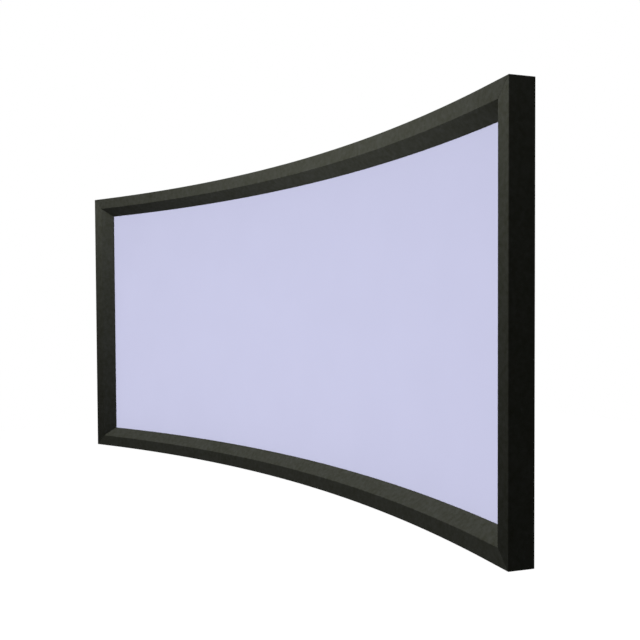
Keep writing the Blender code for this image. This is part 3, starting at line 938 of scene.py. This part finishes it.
def driveSetScrews():
    # hex socket screws in the keys and joiners, which press on the slot
    master = standingCylinder(24, setScrew["radius"], setScrew["length"], 0)
    cutOut(master, standingCylinder(6, setScrew["socket"], 2 * setScrew["socketDepth"],
                                    -setScrew["length"] / 2))
    softenEdges(master, setScrew["edge"])
    paint(master, blackened)
    onBar = halfPicture + frameWidth - setScrew["keyLeg"] + setScrew["inset"]
    onUpright = setScrew["keyLeg"] - setScrew["inset"]
    onJoiner = setScrew["joinerHalf"] - setScrew["inset"]
    for side in ("top", "bottom"):
        for sign, end in ((-1, "left"), (1, "right")):
            upright = height - onUpright if side == "top" else onUpright
            spots = (("bar", side, sign * onBar), ("upright", end, upright),
                     ("joiner", side, sign * onJoiner))
            for name, barSide, along in spots:
                place = sideFrame(barSide, along, setScrew["depth"], setScrew["slotMiddle"])
                piece = copyTo(master, f"{side}_{end}_{name}_set_screw", place)
                settle(piece)
    bpy.data.objects.remove(master, do_unlink=True)


def driveBraceScrews():
    # cross recess pan heads, through the brace into its clips
    tall = panScrew["height"]
    master = standingCylinder(24, panScrew["radius"], tall, 0)
    rim = -panScrew["rim"] * tall / 2
    bevelEdges(master, lambda first, second: max(first.y, second.y) < rim,
               panScrew["dome"], panScrew["segments"])
    for turned in (False, True):
        bpy.ops.object.select_all(action="DESELECT")
        bpy.ops.mesh.primitive_cube_add(size=1, location=(0, -tall / 2, 0))
        bar = bpy.context.object
        across, thick = panScrew["cross"], panScrew["crossWidth"]
        bar.scale = (thick if turned else across, 2 * panScrew["crossDepth"],
                     across if turned else thick)
        bakePlace(bar)
        cutOut(master, bar)
    shadeFlats(master)
    paint(master, blackened)
    for side in ("top", "bottom"):
        for i, outward in enumerate(panScrew["places"]):
            place = sideFrame(side, 0, panScrew["behind"] - tall / 2, outward)
            piece = copyTo(master, f"{side}_brace_screw_{i + 1}", place)
            settle(piece)
    bpy.data.objects.remove(master, do_unlink=True)


finishPlates(plateWork["zinc"], zinc)
finishPlates(plateWork["powder"], powder)
finishPlates(plateWork["anodised"], anodised["upright"])
print("plates finished")
driveSetScrews()
driveBraceScrews()
print("screws driven")


# Stage: floor, lamps, world and camera

studio = {
    "floorDrop": 1.8,        # far enough down for a look at the screen from below
    "floorSize": 30,
    "ambient": 0.13,
    "white": "ffffff",
    "floor": "f2f2f2",
    "floorGlow": 0.89,       # the rest of its white is the light that falls on it
}
lamps = {
    # a long soft box high above, a little in front
    "top": {"place": (0.2, -0.88, 3.6), "aim": (0, 0, 0.1), "size": (2.4, 0.4), "power": 226},
    # one level with the top, in front of the uprights, which it lights less lower down
    "uprights": {"place": (0.02, -1.05, 1.55), "aim": (0.02, 0, 1.72), "size": (2.5, 0.2),
                 "power": 54},
    # a small one before the picture, tipped up, for the bevels that face down
    "fill": {"place": (0.3, -1.0, 0.68), "aim": (0, 0, 2.9), "size": (0.7, 0.4), "power": 17},
    # broad front light for the sheet alone, so that it stays even
    "sheet": {"place": (0, -3.4, 0.6), "aim": (0, 0, 0.58), "size": (3.0, 2.0), "power": 126},
    # two behind, for the back
    "backLeft": {"place": (-1.6, 3.0, 2.2), "aim": (-0.2, 0, 0.5), "size": (2.0, 2.0),
                 "power": 48},
    "backRight": {"place": (0.9, 3.2, 1.4), "aim": (0.1, 0, 0.5), "size": (2.0, 2.0),
                  "power": 40},
}
view = {
    "place": (2.4088, -1.6571, 0.5997),
    "heading": math.degrees(0.9293),
    "tilt": -math.degrees(0.0277),
    "roll": -math.degrees(0.0058),
    "focal": 801.72,         # in pixels of a 640 pixel frame
    "centre": (300, 338.89),
    "frame": 640,
    "sensor": 36,
}


def whiteRays(tree):
    # the camera, gloss and glass see the white studio, which lights nothing by itself
    rays = addNode(tree, "ShaderNodeLightPath", {})
    seen = addNode(tree, "ShaderNodeMath", {"operation": "MAXIMUM"},
                   [(0, rays.outputs["Is Camera Ray"]), (1, rays.outputs["Is Glossy Ray"])])
    through = addNode(tree, "ShaderNodeMath", {"operation": "MAXIMUM"},
                      [(0, seen.outputs[0]), (1, rays.outputs["Is Transmission Ray"])])
    return through.outputs[0]


def layFloor():
    bpy.ops.object.select_all(action="DESELECT")
    bpy.ops.mesh.primitive_plane_add(size=studio["floorSize"],
                                     location=(0, 0, -studio["floorDrop"]))
    floor = bpy.context.object
    floor.name = "floor"
    made, tree, shader = newMaterial("pale studio floor", {
        "Base Color": linear(studio["floor"]), "Roughness": 0.9, "Specular IOR Level": 0.0,
        "Emission Color": linear(studio["white"])})
    glow = addNode(tree, "ShaderNodeMath", {"operation": "MULTIPLY", 1: studio["floorGlow"]},
                   [(0, whiteRays(tree))])
    tree.links.new(glow.outputs[0], shader.inputs["Emission Strength"])
    paint(floor, made)


def lightWorld():
    world = bpy.data.worlds.new("studio")
    bpy.context.scene.world = world
    world.use_nodes = True
    tree = world.node_tree
    tree.nodes.clear()
    dim = addNode(tree, "ShaderNodeBackground", {"Color": linear(studio["white"]),
                                                 "Strength": studio["ambient"]})
    bright = addNode(tree, "ShaderNodeBackground", {"Color": linear(studio["white"])})
    both = addNode(tree, "ShaderNodeMixShader", {},
                   [(0, whiteRays(tree)), (1, dim.outputs[0]), (2, bright.outputs[0])])
    addNode(tree, "ShaderNodeOutputWorld", {}, [("Surface", both.outputs[0])])


def hangLamp(name, takers=None):
    look = lamps[name]
    data = bpy.data.lights.new(name, "AREA")
    data.shape = "RECTANGLE"
    data.size, data.size_y = look["size"]
    data.energy = look["power"]
    lamp = bpy.data.objects.new(name + " lamp", data)
    bpy.context.scene.collection.objects.link(lamp)
    lamp.location = look["place"]
    towards = Vector(look["aim"]) - lamp.location
    lamp.rotation_euler = towards.to_track_quat("-Z", "Y").to_euler()
    lamp.visible_camera = False
    if takers is not None:
        taking = bpy.data.collections.new(name + " takers")
        for piece in takers:
            taking.objects.link(piece)
        lamp.light_linking.receiver_collection = taking


def placeCamera():
    data = bpy.data.cameras.new("camera")
    data.sensor_width = view["sensor"]
    data.lens = view["focal"] * data.sensor_width / view["frame"]
    data.shift_x = 0.5 - view["centre"][0] / view["frame"]
    data.shift_y = view["centre"][1] / view["frame"] - 0.5
    camera = bpy.data.objects.new("camera", data)
    bpy.context.scene.collection.objects.link(camera)
    camera.matrix_world = (Matrix.Translation(view["place"])
                           @ Matrix.Rotation(math.radians(view["heading"]), 4, "Z")
                           @ Matrix.Rotation(math.radians(90 + view["tilt"]), 4, "X")
                           @ Matrix.Rotation(math.radians(view["roll"]), 4, "Z"))
    bpy.context.scene.camera = camera


bars = [bpy.data.objects["flocked_" + node] for node in barNodes if "_bar_" in node]
uprights = [bpy.data.objects["flocked_" + node] for node in barNodes if "upright" in node]
layFloor()
lightWorld()
hangLamp("top", bars)
hangLamp("fill", bars)
hangLamp("uprights", uprights)
hangLamp("sheet", [pictureSheet])
hangLamp("backLeft")
hangLamp("backRight")
placeCamera()
bpy.context.scene.view_settings.view_transform = "Standard"
print("studio lit")
